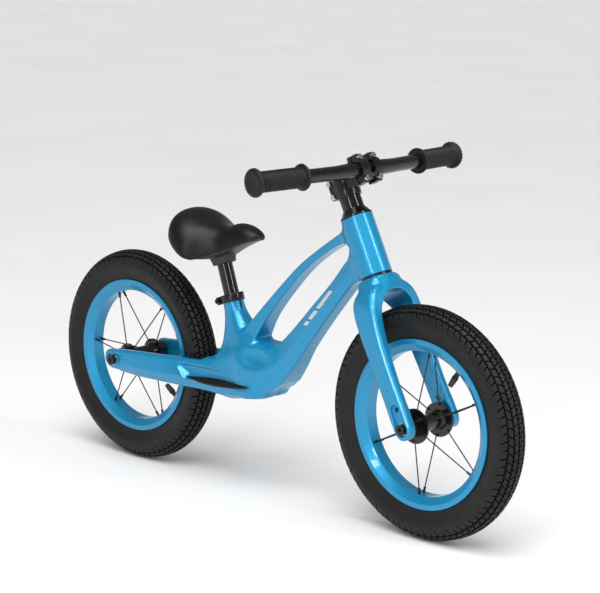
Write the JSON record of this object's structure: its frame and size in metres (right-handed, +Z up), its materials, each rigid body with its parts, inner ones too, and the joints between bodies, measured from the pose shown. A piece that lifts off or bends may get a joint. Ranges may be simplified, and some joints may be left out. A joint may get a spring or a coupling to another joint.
{
  "type": "balance bike",
  "caption": "Child's balance bike: cast blue frame and fork, spoked wheels with air-filled tyres, flat handlebar on a short stem, padded saddle on a sliding post and foot rests.",
  "frame": {"origin": "on the ground, midway between the two axles, in the bike's plane of symmetry", "axes": "+X forward to the front wheel, +Y to the rider's left, +Z up"},
  "size_m": [1.0138, 0.456, 0.5812],
  "materials": {
    "frame_paint": "glossy blue metallic paint under clear coat",
    "black_metal": "satin black anodised or powder coated metal",
    "bare_steel": "bright zinc plated steel",
    "tyre_rubber": "matte black rubber",
    "soft_rubber": "soft matte black rubber",
    "saddle_cover": "matte black synthetic leather",
    "black_plastic": "moulded black plastic"
  },
  "bodies": {
    "frame": {"frame": "frame_paint", "upper_head_bearing": "bare_steel", "lower_head_bearing": "bare_steel", "left_foot_pad": "soft_rubber", "right_foot_pad": "soft_rubber", "seat_clamp": "black_metal", "seat_clamp_bolt": "black_metal", "rear_axle": "bare_steel", "rear_axle_sleeves": "black_metal", "rear_axle_washers": "bare_steel", "rear_axle_bolts": "black_metal"},
    "steering": {"fork": "frame_paint", "steerer_tube": "bare_steel", "crown_race": "black_metal", "compression_ring": "bare_steel", "head_cover": "black_metal", "headset_spacer": "black_metal", "stem": "black_metal", "stem_faceplate": "black_metal", "faceplate_bolts": "bare_steel", "pinch_bolts": "bare_steel", "top_cap": "black_metal", "top_cap_bolt": "bare_steel", "star_nut": "bare_steel", "handlebar": "black_metal", "left_grip": "soft_rubber", "right_grip": "soft_rubber", "front_axle": "bare_steel", "front_axle_sleeves": "black_metal", "front_axle_washers": "bare_steel", "front_axle_bolts": "black_metal"},
    "front_wheel": {"front_tyre": "tyre_rubber", "front_inner_tube": "soft_rubber", "front_valve_cap": "black_plastic", "front_rim": "frame_paint", "front_hub": "black_metal", "front_bearings": "bare_steel", "front_spokes": "black_metal", "front_nipples": "black_metal"},
    "rear_wheel": {"rear_tyre": "tyre_rubber", "rear_inner_tube": "soft_rubber", "rear_valve_cap": "black_plastic", "rear_rim": "frame_paint", "rear_hub": "black_metal", "rear_bearings": "bare_steel", "rear_spokes": "black_metal", "rear_nipples": "black_metal"},
    "seat": {"seat_post": "black_metal", "saddle_base": "black_plastic", "saddle_pad": "saddle_cover", "saddle_bolt": "bare_steel"}
  },
  "joints": [
    {"name": "steering_turn", "type": "hinge", "parent": "frame", "child": "steering", "pos_m": [0.325, 0, 0.182], "axis": [-0.4462, 0, 0.8949], "range_deg": [-80, 80]},
    {"name": "front_wheel_spin", "type": "hinge", "parent": "steering", "child": "front_wheel", "pos_m": [0.325, 0, 0.182], "axis": [0, 1, 0], "continuous": true},
    {"name": "rear_wheel_spin", "type": "hinge", "parent": "frame", "child": "rear_wheel", "pos_m": [-0.325, 0, 0.182], "axis": [0, 1, 0], "continuous": true},
    {"name": "seat_height", "type": "slide", "parent": "frame", "child": "seat", "axis": [-0.3223, 0, 0.9466], "range_m": [-0.035, 0.03]}
  ]
}
